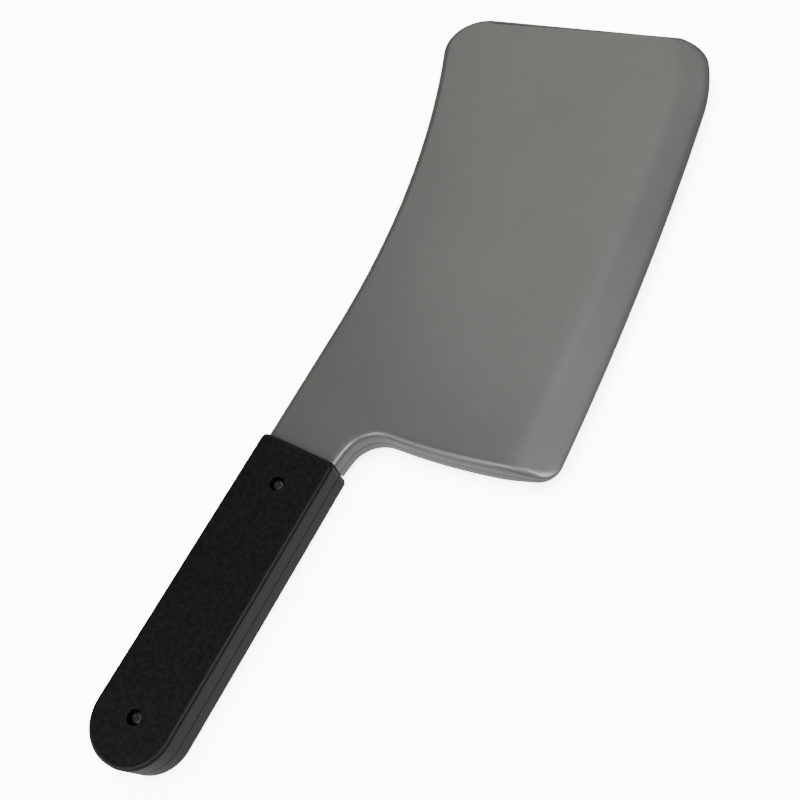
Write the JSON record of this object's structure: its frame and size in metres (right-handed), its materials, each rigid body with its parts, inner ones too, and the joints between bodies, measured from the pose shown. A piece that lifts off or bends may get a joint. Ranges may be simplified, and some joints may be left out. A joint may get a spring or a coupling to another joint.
{
  "type": "moulded cleaver",
  "caption": "Light moulded cleaver: a hollow silver-grey blade in glued shells, held by its tang in a black grip of halves drawn together by screws.",
  "frame": {"origin": "centre of the grip's rear face, on which the cleaver lies", "axes": "+X from the butt of the grip to the tip of the blade, +Y towards the spine, the cutting edge facing -Y, +Z out of the front face"},
  "size_m": [0.3398, 0.1282, 0.0172],
  "materials": {
    "silver_plastic": "satin, with fine metallic pigment",
    "black_plastic": "satin, with a fine mould grain",
    "zinc_plated_steel": "zinc plated"
  },
  "bodies": {
    "root": {"blade_front_shell": "silver_plastic", "blade_rear_shell": "silver_plastic", "handle_front_half": "black_plastic", "handle_rear_half": "black_plastic", "butt_screw": "zinc_plated_steel", "bolster_screw": "zinc_plated_steel"}
  },
  "joints": []
}
